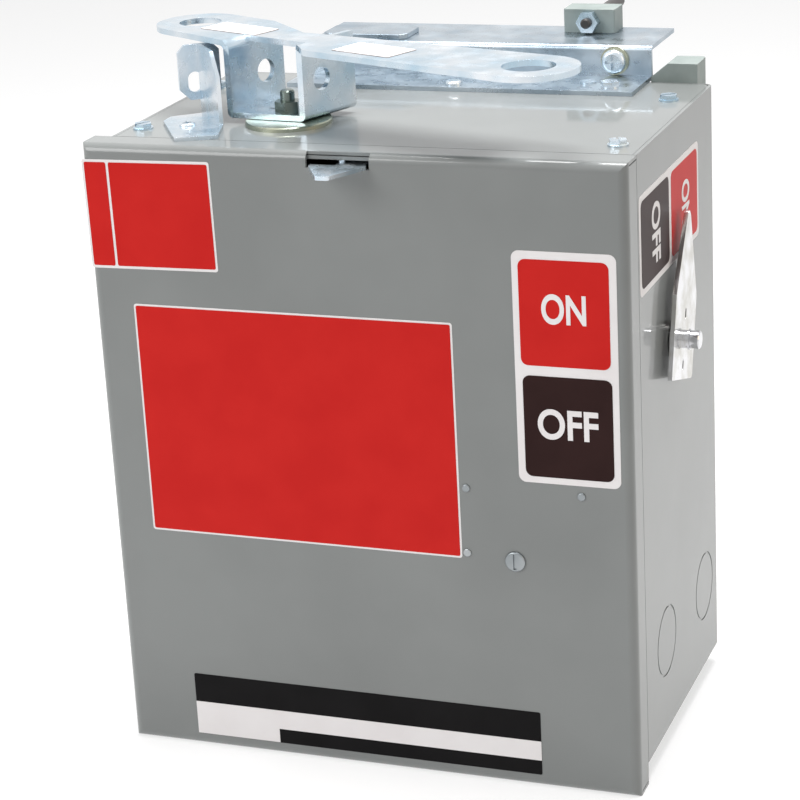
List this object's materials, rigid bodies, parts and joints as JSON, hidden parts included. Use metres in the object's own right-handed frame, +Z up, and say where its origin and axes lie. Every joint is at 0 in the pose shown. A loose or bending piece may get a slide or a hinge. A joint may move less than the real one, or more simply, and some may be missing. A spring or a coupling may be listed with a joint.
{
  "type": "busway tap off box",
  "caption": "Plug-in fused tap off box for overhead busway: hinged steel cover, side handle, hanger rail, assist lever with pointer, stab jaws at the back.",
  "frame": {"origin": "bottom centre of the bounding box, on the plane that the cover and lower rail stand on", "axes": "+Z up, -Y out of the front cover, +Y towards the busway along the alignment pin, +X to the handle side"},
  "size_m": [0.3204, 0.316, 0.402],
  "materials": {
    "painted_steel": "light grey powder coat, glossy",
    "zinc_steel": "clear zinc plated",
    "yellow_zinc": "yellow passivated zinc",
    "chromed_steel": "bright chromed",
    "polished_steel": "polished",
    "grey_moulding": "moulded grey plastic",
    "dark_steel": "black oxide",
    "bushing_plastic": "natural nylon",
    "black_moulding": "glass-filled moulding",
    "barrier_fibre": "vulcanised fibre sheet",
    "copper": "tin-free copper",
    "fuse_tube": "laminated tube with ferrules",
    "lug_aluminium": "tin plated"
  },
  "bodies": {
    "root": {"body_wrap": "painted_steel", "top_plate": "painted_steel", "bottom_plate": "painted_steel", "plate_screws": "zinc_steel", "latch_striker": "zinc_steel", "bearing_washer": "zinc_steel", "foot_bracket": "zinc_steel", "bracket_screw": "zinc_steel", "hanger_rail": "zinc_steel", "rail_screws": "zinc_steel", "clamp_screw": "zinc_steel", "clamp_nut": "zinc_steel", "stop_plate": "zinc_steel", "align_nut": "zinc_steel", "hinge_body_leaf": "zinc_steel", "hinge_pins": "zinc_steel", "hook_bracket": "zinc_steel", "hook_pin": "zinc_steel", "lower_rail": "zinc_steel", "lower_rail_screws": "zinc_steel", "wall_screws": "zinc_steel", "line_bolts": "zinc_steel", "lug_screws": "zinc_steel", "clamp_washer": "yellow_zinc", "interlock_housing": "grey_moulding", "align_block": "grey_moulding", "align_pin": "dark_steel", "shaft_bushing": "bushing_plastic", "crossbar_bearings": "black_moulding", "switch_base": "black_moulding", "stab_base": "black_moulding", "phase_barriers": "barrier_fibre", "line_jaws": "copper", "load_contacts": "copper", "load_strips": "copper", "fuse_clips": "copper", "bus_straps": "copper", "stab_jaws": "copper", "ground_strap": "copper", "ground_bar": "copper", "fuses": "fuse_tube", "load_lugs": "lug_aluminium"},
    "cover": {"front_cover": "painted_steel", "latch_backing_plate": "painted_steel", "cover_rivets": "zinc_steel", "hinge_cover_leaf": "zinc_steel"},
    "latch": {"latch_stud": "zinc_steel", "latch_retainer": "zinc_steel"},
    "assist": {"assist_lever": "zinc_steel", "pivot_bolt": "zinc_steel", "pivot_nut": "zinc_steel", "pointer": "zinc_steel", "pointer_rivet": "zinc_steel"},
    "rotor": {"operating_shaft": "chromed_steel", "shaft_ring": "chromed_steel", "handle": "polished_steel", "crossbar": "black_moulding", "blades": "copper", "interlock_cam": "dark_steel"},
    "hook": {"interlock_hook": "dark_steel"}
  },
  "joints": [
    {"name": "cover_swing", "type": "hinge", "parent": "root", "child": "cover", "pos_m": [-0.15525, -0.107, 0.178], "axis": [0, 0, -1], "range_deg": [0, 110]},
    {"name": "latch_turn", "type": "hinge", "parent": "cover", "child": "latch", "pos_m": [0.07835, -0.132, 0.1343], "axis": [0, 1, 0], "range_deg": [0, 90]},
    {"name": "plug_assist", "type": "hinge", "parent": "root", "child": "assist", "pos_m": [-0.06325, -0.07, 0.36], "axis": [0, 0, -1], "range_deg": [0, 10]},
    {"name": "handle_throw", "type": "hinge", "parent": "root", "child": "rotor", "pos_m": [0.13975, -0.046, 0.237], "axis": [1, 0, 0], "range_deg": [0, 36]},
    {"name": "hook_rock", "type": "hinge", "parent": "root", "child": "hook", "pos_m": [0.11775, 0.028, 0.3], "axis": [1, 0, 0], "range_deg": [-10, 0]}
  ],
  "couplings": [
    {"joint": "hook_rock", "follows": "handle_throw", "ratio": -0.2777}
  ]
}
